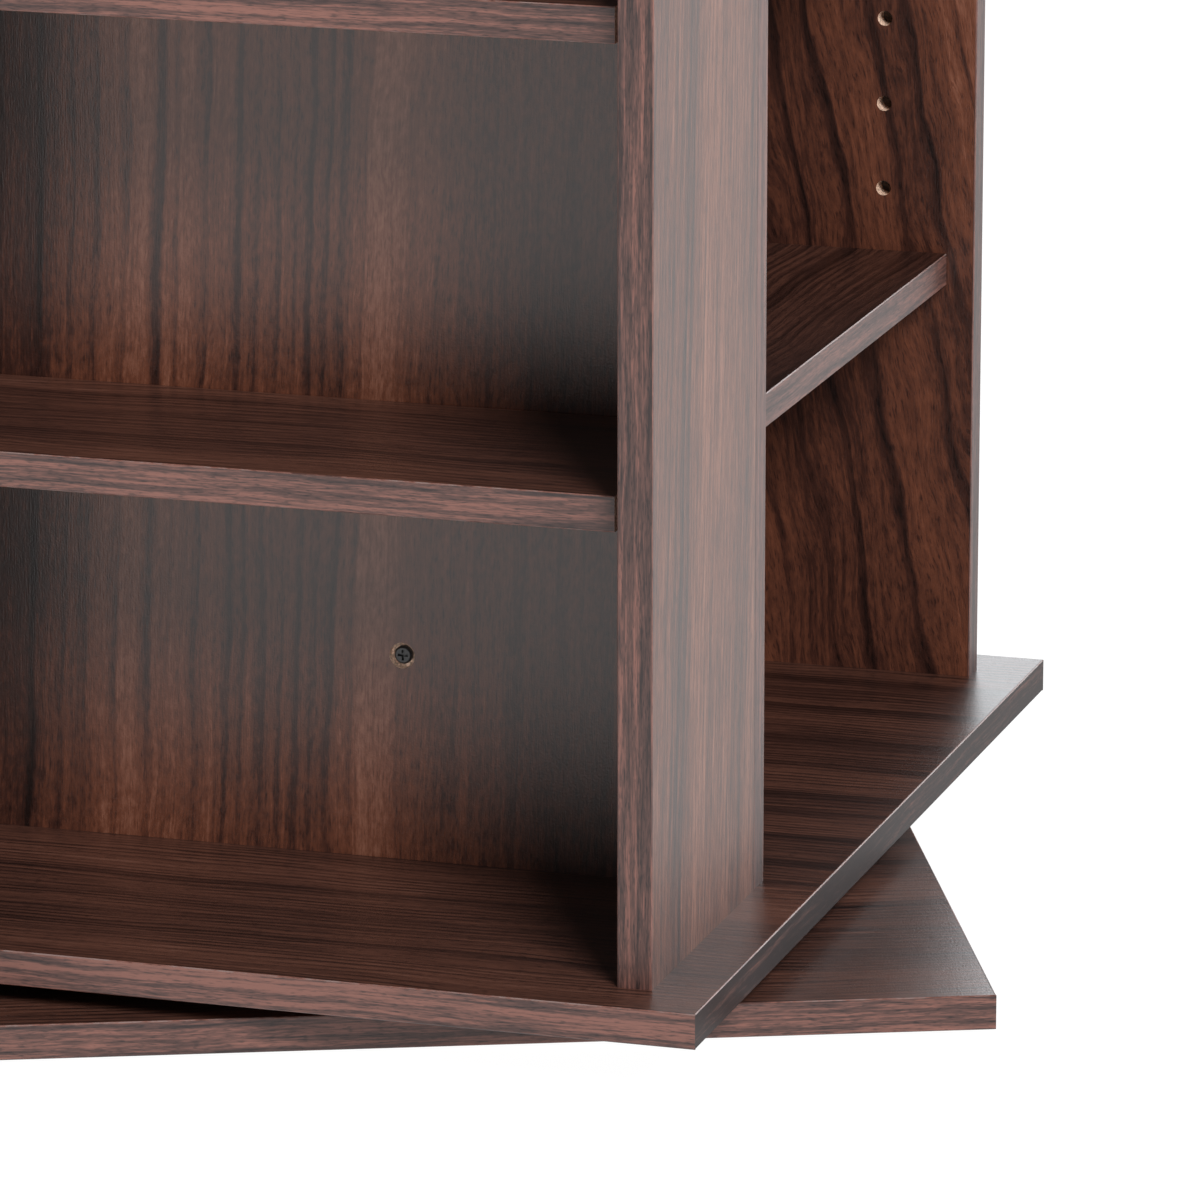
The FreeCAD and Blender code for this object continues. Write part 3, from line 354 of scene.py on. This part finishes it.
def edge_band(name, wood, along="Z", turn=0.0, lift=0.0, sheen=0.36):
    """The printed band on a board's edge: fine pink and dark dashes along the edge.

    A higher lift makes it paler, and a higher sheen makes it mirror more.
    """
    finish = Finish(name, wood.band_gloss)
    finish.shader.inputs["Specular IOR Level"].default_value = sheen
    place = finish.turned(finish.place, turn) if turn else finish.place
    x, y, z = finish.split(place)
    if along == "Z":
        across, down, depth = finish.math("ADD", x, y), z, finish.math("SUBTRACT", x, y)
    else:
        across, down, depth = (z, x, y) if along == "X" else (z, y, x)
    sway = finish.noise((across, down, depth), BAND_SWAY_CELL, 1.0)
    bent = finish.math("MULTIPLY_ADD", sway, BAND_SWAY, across)
    wide = finish.noise((bent, down, depth), BAND_WIDE_CELL, 2.0)
    fibre = finish.noise((bent, down, depth), BAND_FIBRE_CELL, 2.0, 0.6)
    dash = finish.noise((across, down, depth), BAND_DASH_CELL, 2.0, 0.6)
    pore = finish.noise((across, down, depth), BAND_PORE_CELL, 1.0)
    tone = finish.math("MULTIPLY_ADD", wide, BAND_WIDE, lift + BAND_TONE - 0.5 * BAND_WIDE)
    for layer in (fibre, dash):
        tone = finish.math("MULTIPLY_ADD", layer, BAND_FINE, tone)
        tone = finish.math("SUBTRACT", tone, 0.5 * BAND_FINE)
    pores = finish.remap(pore, 0.56, 0.68, 0.0, 0.30)
    tone = finish.math("SUBTRACT", tone, pores, clamp=True)
    shade = finish.ramp(tone, ((0.0, wood.band_dark), (0.5, wood.band_brown),
                               (1.0, wood.band_pink)), smooth=False)
    finish.feed(finish.shader.inputs["Base Color"], shade)
    finish.bump(finish.math("MULTIPLY_ADD", pore, -0.5, dash), 0.04 * MM)
    return finish.material


def worn_and_highlit_arris(name, wood, wear_and_highlight=1.0):
    """The bevel along a band, painted pale in places: partly print abraded by handling, partly a
    painted highlight along the arris.
    """
    finish = Finish(name, 0.42)
    x, y, z = finish.split(finish.place)
    along = finish.math("ADD", finish.math("ADD", x, y), z)
    rub = finish.noise((x, y, z), (0.006, 0.006, 0.006), 3.0, 0.65)
    broad = finish.noise((along, along, along), (0.07, 0.07, 0.07), 1.0)
    tone = finish.math("MULTIPLY_ADD", broad, 0.8, rub)
    # Pale patches on the bevel: abraded print and painted highlight together.
    shade = finish.ramp(finish.remap(tone, 0.66, 1.05, 0.0, wear_and_highlight), (
        (0.0, wood.band_brown), (0.45, wood.band_pink), (1.0, wood.worn_and_highlit)), smooth=False)
    finish.feed(finish.shader.inputs["Base Color"], shade)
    finish.bump(rub, 0.05 * MM)
    return finish.material


def raw_board(name, wood, light=1.0):
    """Cut particle board: pale chips with darker gaps; a light below 1 darkens it all, used as
    painted shade on the floors of deep holes.
    """
    pale = tuple(light * part for part in wood.raw_board[:3])
    finish = Finish(name, 0.85)
    x, y, z = finish.split(finish.place)
    chips = finish.add("ShaderNodeTexVoronoi", {"Vector": finish.place, "Scale": 900.0})
    dust = finish.noise((x, y, z), (0.4 * MM, 0.4 * MM, 0.4 * MM), 2.0)
    tone = finish.math("MULTIPLY_ADD", dust, 0.5, chips.outputs["Distance"])
    dark = tuple(0.45 * part for part in pale)
    shade = finish.ramp(tone, ((0.5, pale), (1.0, dark)), smooth=False)
    finish.feed(finish.shader.inputs["Base Color"], shade)
    finish.bump(tone, 0.1 * MM)
    return finish.material


def plain_fitting(name, shade, roughness, metallic=0.0, grain=0.4 * MM, depth=0.01 * MM):
    """Metal, plastic or timber with a slight mottle in colour, gloss and surface."""
    finish = Finish(name, roughness, metallic)
    x, y, z = finish.split(finish.place)
    mottle = finish.noise((x, y, z), (8 * grain, 8 * grain, 8 * grain), 3.0, 0.6)
    fine = finish.noise((x, y, z), (grain, grain, grain), 2.0)
    dark = tuple(0.72 * part for part in shade[:3])
    light = tuple(min(1.0, 1.18 * part) for part in shade[:3])
    finish.feed(finish.shader.inputs["Base Color"], finish.ramp(mottle, (
        (0.3, dark), (0.7, light)), smooth=False))
    finish.feed(finish.shader.inputs["Roughness"], finish.remap(
        fine, 0.3, 0.7, 0.85 * roughness, min(1.0, 1.15 * roughness)))
    finish.bump(fine, depth)
    return finish.material


# ---------------------------------------------------------------- putting finishes on nodes

def finish_node(node, materials, choose=None):
    """Give a CAD node its materials; choose(face) says which one each face gets."""
    mesh = NODES[node].data
    mesh.materials.clear()
    for material in materials:
        mesh.materials.append(material)
    if choose:
        for face in mesh.polygons:
            face.material_index = choose(face)


def inside(node, margin=0.3 * MM):
    """A test for faces that lie inside a node's box: hole walls and hole floors."""
    low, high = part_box(node)

    def test(face):
        spot = face.center
        return all(low[i] + margin < spot[i] < high[i] - margin for i in range(3))
    return test


def upright_part(node):
    """Which material an upright's face gets: laminate, cut board, or cut board darkened as painted
    shade on a deep hole's floor.
    """
    low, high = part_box(node)
    thin = 0 if high[0] - low[0] < high[1] - low[1] else 1
    hole = inside(node)

    def part(face):
        if hole(face):
            depth = min(face.center[thin] - low[thin], high[thin] - face.center[thin])
            # Deep hole floors get the darkened cut board: painted shade.
            return 2 if abs(face.normal[thin]) > 0.9 and depth > DEEP_FLOOR else 1
        return int(abs(face.normal.z) > 0.9)
    return part


# Grain figures, drawn across each board. In each:
# - sheen is the specular level, and lean is how far the grain drifts across for its length
# - sway and wobble bend the grain slowly and quickly (mm)
# - fibre, streak, mottle and pores are the strengths of those layers, and blot is the
#   length of a mottle spot (mm)
# - rings is the distance between fine growth lines (mm, 0 for none), ring_depth their strength
# - tones are (mm, tone), from dark 0 to pale 1; veins are (mm, strength, core mm, fade mm)
STRIPED = {
    "sheen": 0.50,
    "lean": 0.040, "sway": 7.0, "wobble": 4.4, "fibre": 0.26, "streak": 0.24, "mottle": 0.46,
    "blot": 6, "pores": 0.16, "rings": 6.4, "ring_depth": 0.05,
    "tones": ((-170, 0.56), (-110, 0.48), (-72, 0.42), (-50, 0.56), (-20, 0.70), (30, 0.58),
              (70, 0.56), (88, 0.75), (106, 0.60), (126, 0.52), (150, 0.50), (200, 0.49),
              (270, 0.42)),
    "veins": (
        (-150, 0.30, 1.4, 7), (-131, 0.38, 1.6, 8), (-112, 0.26, 1.2, 5),
        (-96, 0.34, 1.4, 8), (-85, 0.22, 1.0, 5), (-66, 0.36, 1.2, 6), (-52, 0.18, 1.0, 4),
        (-41, 0.24, 1.0, 6), (-27, 0.20, 0.9, 5), (-12, 0.48, 1.8, 7), (-4, 0.18, 0.8, 4),
        (9, 0.26, 1.0, 6), (24, 0.34, 1.3, 5), (31, 0.20, 0.8, 4), (41, 0.26, 1.1, 6),
        (49, 0.18, 0.8, 4), (57, 0.30, 1.2, 5), (64, 0.22, 1.0, 4), (72, 0.28, 1.2, 5),
        (81, 0.20, 0.9, 4), (137, 0.10, 1.6, 4), (157, 0.14, 1.4, 4), (176, 0.08, 1.4, 5),
        (204, 0.10, 1.2, 5), (231, 0.12, 1.2, 5)),
}
PLATE = {
    "sheen": 0.50,
    "lean": 0.012, "sway": 14.0, "wobble": 3.6, "fibre": 0.36, "streak": 0.24,
    "mottle": 0.30, "blot": 20, "pores": 0.22, "rings": 4.4, "ring_depth": 0.44,
    "tones": ((-292, 0.60), (-270, 0.64), (-250, 0.54), (-180, 0.56), (-150, 0.66),
              (-120, 0.58), (-60, 0.52), (-20, 0.62), (20, 0.50), (60, 0.62), (110, 0.48),
              (160, 0.58), (210, 0.48), (250, 0.58), (292, 0.54)),
    "veins": ((-241, 0.16, 2.0, 5.0), (-203, 0.16, 2.0, 5.0), (-168, 0.20, 2.0, 7.0),
              (-104, 0.24, 2.4, 12), (-71, 0.30, 2.4, 14), (-32, 0.34, 2.6, 14),
              (6, 0.26, 2.2, 12), (34, 0.34, 2.6, 14), (81, 0.30, 2.4, 14),
              (124, 0.34, 2.6, 16), (177, 0.28, 2.4, 14), (226, 0.30, 2.4, 14)),
}
FIGURED = {
    "sheen": 0.40,
    "lean": -0.20, "sway": 26.0, "wobble": 11.0, "fibre": 0.18, "streak": 0.34,
    "mottle": 0.40, "blot": 9, "pores": 0.20, "rings": 0, "ring_depth": 0.0,
    "tones": ((100, 0.45), (150, 0.45), (180, 0.55), (206, 0.45), (232, 0.47), (256, 0.49),
              (275, 0.57), (300, 0.47), (340, 0.71), (372, 0.63), (404, 0.55), (436, 0.47),
              (470, 0.53), (540, 0.45)),
    "veins": ((122, 0.26, 1.2, 6), (150, 0.30, 1.2, 7), (168, 0.26, 1.0, 6),
              (189, 0.20, 1.0, 6), (217, 0.16, 1.4, 8), (238, 0.38, 1.2, 6),
              (261, 0.36, 1.2, 7), (291, 0.30, 1.0, 6), (307, 0.34, 1.2, 6),
              (331, 0.28, 1.2, 5), (352, 0.22, 1.0, 7), (371, 0.34, 1.2, 6),
              (398, 0.18, 1.4, 8), (421, 0.36, 1.2, 6), (437, 0.24, 1.0, 5),
              (463, 0.32, 1.2, 7), (489, 0.22, 1.0, 6), (514, 0.30, 1.2, 6)),
}
PLAIN = {
    "sheen": 0.33,
    "lean": 0.060, "sway": 6.0, "wobble": 3.4, "fibre": 0.80, "streak": 0.40,
    "mottle": 0.44, "blot": 12, "pores": 0.30, "rings": 4.6, "ring_depth": 0.20,
    "tones": ((-100, 0.63), (-40, 0.71), (-10, 0.61), (12, 0.67), (25, 0.57), (40, 0.61),
              (50, 0.69), (58, 0.77), (66, 0.71), (90, 0.69), (112, 0.65), (126, 0.61),
              (134, 0.73), (142, 0.71), (150, 0.69)),
    "veins": ((-72, 0.22, 1.6, 5), (-48, 0.18, 1.4, 4), (-21, 0.24, 1.6, 5),
              (9, 0.18, 1.6, 4), (19, 0.22, 1.6, 4), (28, 0.28, 2.0, 5), (36, 0.26, 2.0, 5),
              (73, 0.20, 1.4, 3), (112, 0.16, 1.6, 4), (122, 0.22, 1.6, 4)),
}
SHELF = {**PLATE, "rings": 4.8, "ring_depth": 0.30, "streak": 0.22, "sway": 18.0,
         "tones": tuple((x, tone - 0.02) for x, tone in PLATE["tones"])}


def shifted(figure, distance):
    """The same figure moved across the board."""
    moved = dict(figure)
    moved["tones"] = tuple((x + distance, tone) for x, tone in figure["tones"])
    moved["veins"] = tuple((x + distance, *rest) for x, *rest in figure["veins"])
    return moved


BACK_SHIFTS = (-116, 126, -40, -272)    # of the striped figure, in the order of SIDES
SIDE_FIGURES = {"front": (PLAIN, 0), "right": (FIGURED, 251), "rear": (PLAIN, -150),
                "left": (FIGURED, -633)}
# The darker copy of the band print on the plates' edges facing ±X is painted shade.
SIDE_RUN_SHADE_LIFT = -0.55                   # the plates' bands along Y are darker and duller
SIDE_RUN_SHEEN = 0.10
# A deep hole's floor is drawn darker than its walls: painted shade in the hole.
HOLE_FLOOR_SHADE = 0.10                       # brightness of a deep hole's floor beside its walls
DEEP_FLOOR = 4 * MM                     # how far under both faces such a floor lies, at least


class TowerOperator(bpy.types.Operator):
    """Shared ways to reach the tower's settings."""

    bl_options = {"REGISTER", "UNDO"}

    def wood(self, context):
        """The settings of the laminate and its bands."""
        return context.scene.tower_wood

    def fittings(self, context):
        """The settings of the fittings."""
        return context.scene.tower_fittings


class TOWER_OT_base(TowerOperator):
    """Finish the base plate that stands on the floor, and its glides"""

    bl_idname = "tower.base"
    bl_label = "Base plate"

    def execute(self, context):
        wood = self.wood(context)
        face = laminate("base_laminate", wood, shifted(PLATE, 10), "X", BASE_TURN)
        hole = inside("base_plate")
        finish_node("base_plate", (face, raw_board("base_raw_board", wood)),
                    lambda polygon: int(hole(polygon)))
        glide = plain_fitting("glide_plastic", self.fittings(context).glide, 0.5)
        finish_node("base_glides", (glide,))
        return {"FINISHED"}


class TOWER_OT_turntable(TowerOperator):
    """Finish the ball-bearing turntable"""

    bl_idname = "tower.turntable"
    bl_label = "Turntable"

    def execute(self, context):
        fittings = self.fittings(context)
        zinc = plain_fitting("zinc_steel", fittings.zinc, 0.34, 1.0)
        finish_node("turntable_lower_plate", (zinc,))
        finish_node("turntable_upper_plate", (zinc,))
        ball = plain_fitting("ball_steel", fittings.bright_steel, 0.12, 1.0)
        finish_node("turntable_balls", (ball,))
        nylon = plain_fitting("retainer_nylon", fittings.nylon, 0.45)
        finish_node("turntable_ball_retainer", (nylon,))
        return {"FINISHED"}


class TOWER_OT_plates(TowerOperator):
    """Finish the turning bottom panel and the top panel"""

    bl_idname = "tower.plates"
    bl_label = "Bottom and top panels"

    def execute(self, context):
        wood = self.wood(context)
        raw = raw_board("plate_raw_board", wood)
        for node in ("bottom_panel", "top_panel"):
            face = laminate(f"{node}_laminate", wood, PLATE, "X")
            hole = inside(node)
            finish_node(node, (face, raw), lambda polygon, hole=hole: int(hole(polygon)))
        return {"FINISHED"}


class TOWER_OT_back_panels(TowerOperator):
    """Finish the four back panels"""

    bl_idname = "tower.back_panels"
    bl_label = "Back panels"

    def execute(self, context):
        wood = self.wood(context)
        raw = raw_board("back_raw_board", wood)
        # Deep hole floors take the cut board darkened: painted shade.
        floor = raw_board("back_hole_floor_painted_shade", wood, HOLE_FLOOR_SHADE)
        for number, side in enumerate(SIDES):
            node = f"back_panel_{side}"
            figure = shifted(STRIPED, BACK_SHIFTS[number])
            face = laminate(f"{node}_laminate", wood, figure)
            finish_node(node, (face, raw, floor), upright_part(node))
        return {"FINISHED"}


class TOWER_OT_side_panels(TowerOperator):
    """Finish the four side panels"""

    bl_idname = "tower.side_panels"
    bl_label = "Side panels"

    def execute(self, context):
        wood = self.wood(context)
        raw = raw_board("side_raw_board", wood)
        # Deep hole floors take the cut board darkened: painted shade.
        floor = raw_board("side_hole_floor_painted_shade", wood, HOLE_FLOOR_SHADE)
        for side in SIDES:
            node = f"side_panel_{side}"
            low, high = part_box(node)
            joint = {"front": (1, high[1]), "right": (0, low[0]), "rear": (1, low[1]),
                     "left": (0, high[0])}[side]
            figure = shifted(*SIDE_FIGURES[side])
            face = laminate(f"{node}_laminate", wood, figure, joint=joint)
            finish_node(node, (face, raw, floor), upright_part(node))
        return {"FINISHED"}


class TOWER_OT_shelves(TowerOperator):
    """Finish the adjustable shelves, each with a band on its front edge"""

    bl_idname = "tower.shelves"
    bl_label = "Shelves"

    def execute(self, context):
        wood = self.wood(context)
        raw = raw_board("shelf_raw_board", wood)
        # Shelf bevels: pale abrasion with a painted highlight.
        worn_and_highlit = worn_and_highlit_arris("shelf_worn_arris", wood)
        for number, side in enumerate(SIDES):
            along = "X" if side in ("front", "rear") else "Y"
            face = laminate(f"shelf_{side}_laminate", wood, shifted(SHELF, 30), along)
            band = edge_band(f"shelf_{side}_band", wood, along, 0.0, 0.06)
            out = Matrix.Rotation(math.radians(90 * number), 3, "Z") @ Vector((0, -1, 0))
            for row in range(1, SHELF_ROWS + 1):
                finish_node(f"shelf_{side}_{row}", (face, band, worn_and_highlit, raw),
                            lambda polygon, out=out: shelf_part(polygon, out))
        return {"FINISHED"}


def shelf_part(polygon, out):
    """Which material of a shelf a face gets: its laminate, band, bevel or raw ends."""
    if abs(polygon.normal.z) > 0.9:
        return 0
    if polygon.normal.dot(out) > 0.9:
        return 1
    if polygon.normal.dot(out) > 0.5:
        return 2
    return 3


class TOWER_OT_edge_bands(TowerOperator):
    """Finish the bands on the edges of the plates and the uprights"""

    bl_idname = "tower.edge_bands"
    bl_label = "Edge bands"

    def execute(self, context):
        wood = self.wood(context)
        # Bevels: pale abrasion with a painted highlight, fainter on the uprights.
        worn_and_highlit = worn_and_highlit_arris("band_worn_arris", wood)
        rubbed_and_highlit = worn_and_highlit_arris("upright_worn_arris", wood, 0.45)
        for node, turn, lift in (("base_plate_edge_bands", BASE_TURN, 0.06),
                                 ("bottom_panel_edge_bands", 0.0, 0.20),
                                 ("top_panel_edge_bands", 0.0, 0.20)):
            runs_x = edge_band(f"{node}_along_x", wood, "X", turn, lift)
            # Bands along Y: a darker copy of the band print as painted shade, which also mirrors
            # less.
            runs_y = edge_band(f"{node}_along_y", wood, "Y", turn, SIDE_RUN_SHADE_LIFT,
                               SIDE_RUN_SHEEN)
            across = Vector((math.cos(turn), math.sin(turn), 0))
            finish_node(node, (runs_x, runs_y, worn_and_highlit),
                        lambda polygon, across=across: plate_band_part(polygon, across))
        for node, lift, sheen in (("back_panel_edge_bands", 0.15, 0.55),
                                  ("side_panel_edge_bands", -0.06, 0.36)):
            band = edge_band(f"{node}_print", wood, "Z", 0.0, lift, sheen)
            finish_node(node, (band, rubbed_and_highlit), lambda polygon: int(
                abs(polygon.normal.z) < 0.1 and max(abs(polygon.normal.x),
                                                    abs(polygon.normal.y)) < 0.9))
        return {"FINISHED"}


def plate_band_part(polygon, across):
    """Which material of a plate's bands a face gets: along X, along Y or the top bevel, which
    carries the pale abrasion and painted highlight.
    """
    if 0.3 < polygon.normal.z < 0.9:
        return 2
    return 1 if abs(polygon.normal.dot(across)) > 0.5 else 0


class TOWER_OT_supports(TowerOperator):
    """Finish the shelf supports"""

    bl_idname = "tower.supports"
    bl_label = "Shelf supports"

    def execute(self, context):
        steel = plain_fitting("support_steel", self.fittings(context).zinc, 0.3, 1.0)
        for side in SIDES:
            finish_node(f"shelf_supports_{side}", (steel,))
        return {"FINISHED"}


class TOWER_OT_fasteners(TowerOperator):
    """Finish the screws, dowels, cams and caps"""

    bl_idname = "tower.fasteners"
    bl_label = "Fasteners"

    def execute(self, context):
        fittings = self.fittings(context)
        black = plain_fitting("black_screw", fittings.screw_black, 0.38, 0.0)
        for node in ("back_panel_screws", "side_panel_screws", "bottom_panel_screws",
                     "turntable_lower_screws", "turntable_upper_screws"):
            finish_node(node, (black,))
        beech = plain_fitting("dowel_beech", fittings.beech, 0.7)
        finish_node("dowels_bottom", (beech,))
        finish_node("dowels_top", (beech,))
        cast = plain_fitting("cam_zinc", fittings.cam, 0.4, 1.0)
        finish_node("cam_bolts", (cast,))
        finish_node("cam_locks", (cast,))
        finish_node("cam_caps", (plain_fitting("cap_plastic", fittings.cap, 0.4),))
        return {"FINISHED"}


def softbox(name, place, target, size, radiance, tint=(1.0, 1.0, 1.0)):
    """A rectangular softbox that faces a target; returns the lamp."""
    bpy.ops.object.light_add(type="AREA", location=place)
    lamp = bpy.context.object
    lamp.name = name
    lamp.data.shape = "RECTANGLE"
    lamp.data.color = tint
    lamp.data.size, lamp.data.size_y = size
    lamp.data.energy = radiance * math.pi * size[0] * size[1]
    lamp.rotation_euler = (Vector(place) - Vector(target)).to_track_quat("Z", "Y").to_euler()
    return lamp


class TOWER_OT_studio(TowerOperator):
    """Lay the floor, light it and place the camera"""

    bl_idname = "tower.studio"
    bl_label = "Studio"

    def execute(self, context):
        studio = context.scene.tower_studio
        bpy.ops.object.select_all(action="DESELECT")
        bpy.ops.mesh.primitive_plane_add(size=studio.floor_size)
        floor = context.object
        floor.name = "studio_floor"
        finish = Finish("studio_floor", 0.9)
        finish.feed(finish.shader.inputs["Base Color"], studio.floor_colour)
        finish.feed(finish.shader.inputs["Emission Color"], (1.0, 1.0, 1.0, 1.0))
        y = finish.split(finish.place)[1]
        finish.feed(finish.shader.inputs["Emission Strength"], finish.remap(
            y, *FRONT_GLOW, studio.floor_glow, studio.front_glow))
        floor.data.materials.append(finish.material)
        world = bpy.data.worlds.new("white_studio")
        world.use_nodes = True
        sky = world.node_tree.nodes["Background"]
        sky.inputs["Color"].default_value = (0.97, 0.98, 1.0, 1.0)
        sky.inputs["Strength"].default_value = studio.sky_strength
        context.scene.world = world
        softbox("back_light", **BACK_LIGHT)
        key = softbox("key_light", **KEY_LIGHT)
        key.visible_glossy = False
        context.scene.view_settings.view_transform = "Standard"
        camera = bpy.data.objects.new("camera", bpy.data.cameras.new("camera"))
        context.scene.collection.objects.link(camera)
        camera.data.sensor_width = 36.0
        camera.data.lens = studio.lens
        camera.data.clip_end = 200.0
        camera.location = studio.camera_place
        camera.rotation_euler = (math.radians(90) - studio.camera_fall, 0.0,
                                 studio.camera_azimuth)
        context.scene.camera = camera
        return {"FINISHED"}


class TOWER_PT_panel(bpy.types.Panel):
    """The tower's steps in the order they are run."""

    bl_idname = "TOWER_PT_panel"
    bl_label = "Media Tower"
    bl_space_type = "VIEW_3D"
    bl_region_type = "UI"
    bl_category = "Media Tower"

    def draw(self, context):
        for step in STEPS:
            self.layout.operator(step.bl_idname)


STEPS = (TOWER_OT_base, TOWER_OT_turntable, TOWER_OT_plates, TOWER_OT_back_panels,
         TOWER_OT_side_panels, TOWER_OT_shelves, TOWER_OT_edge_bands, TOWER_OT_supports,
         TOWER_OT_fasteners, TOWER_OT_studio)
SETTINGS = {"tower_wood": WoodSettings, "tower_fittings": FittingSettings,
            "tower_studio": StudioSettings}


def register():
    """Register the settings, the steps and the panel."""
    for name, group in SETTINGS.items():
        bpy.utils.register_class(group)
        setattr(bpy.types.Scene, name, bpy.props.PointerProperty(type=group))
    for step in STEPS:
        bpy.utils.register_class(step)
    bpy.utils.register_class(TOWER_PT_panel)


def unregister():
    """Take everything away again."""
    bpy.utils.unregister_class(TOWER_PT_panel)
    for step in reversed(STEPS):
        bpy.utils.unregister_class(step)
    for name, group in SETTINGS.items():
        delattr(bpy.types.Scene, name)
        bpy.utils.unregister_class(group)


def main():
    """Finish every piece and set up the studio."""
    register()
    for step in STEPS:
        group, name = step.bl_idname.split(".")
        getattr(getattr(bpy.ops, group), name)()


if __name__ == "__main__":
    main()
